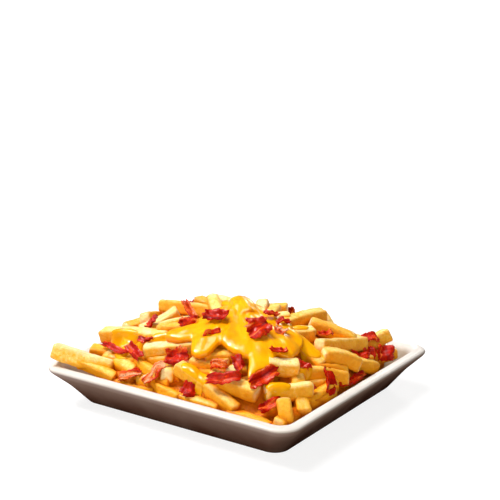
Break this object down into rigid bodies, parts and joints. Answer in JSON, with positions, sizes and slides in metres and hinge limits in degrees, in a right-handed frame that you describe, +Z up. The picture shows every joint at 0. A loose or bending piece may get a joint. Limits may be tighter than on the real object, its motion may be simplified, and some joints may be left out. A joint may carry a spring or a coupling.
{
  "type": "cheese fries with bacon in a dish",
  "caption": "Straight-cut fries heaped in a white porcelain dish, with poured cheddar cheese sauce and crisp bacon pieces on top.",
  "frame": {"origin": "middle of the dish's base, on the surface that it stands on", "axes": "+X along the dish's longer side, +Y along its shorter side to the side away from the pictured corner, +Z up"},
  "size_m": [0.16, 0.148, 0.0567],
  "materials": {
    "porcelain": "glossy cream-white glaze",
    "fries": "crisp fried potato, golden with pale cut ends",
    "cheese": "smooth warm cheddar sauce, glossy",
    "bacon": "crisp fried bacon, dark red with paler fat streaks"
  },
  "bodies": {
    "root": {"dish": "porcelain", "fries": "fries", "cheese_sauce": "cheese", "bacon_01": "bacon", "bacon_02": "bacon", "bacon_03": "bacon", "bacon_04": "bacon", "bacon_05": "bacon", "bacon_06": "bacon", "bacon_07": "bacon", "bacon_08": "bacon", "bacon_09": "bacon", "bacon_10": "bacon", "bacon_11": "bacon", "bacon_12": "bacon", "bacon_13": "bacon", "bacon_14": "bacon", "bacon_15": "bacon", "bacon_16": "bacon", "bacon_17": "bacon", "bacon_18": "bacon", "bacon_19": "bacon", "bacon_20": "bacon", "bacon_21": "bacon", "bacon_22": "bacon", "bacon_23": "bacon", "bacon_24": "bacon", "bacon_25": "bacon", "bacon_26": "bacon", "bacon_27": "bacon", "bacon_28": "bacon", "bacon_29": "bacon", "bacon_30": "bacon", "bacon_31": "bacon", "bacon_32": "bacon", "bacon_33": "bacon", "bacon_34": "bacon", "bacon_35": "bacon", "bacon_36": "bacon", "bacon_37": "bacon"}
  },
  "joints": []
}
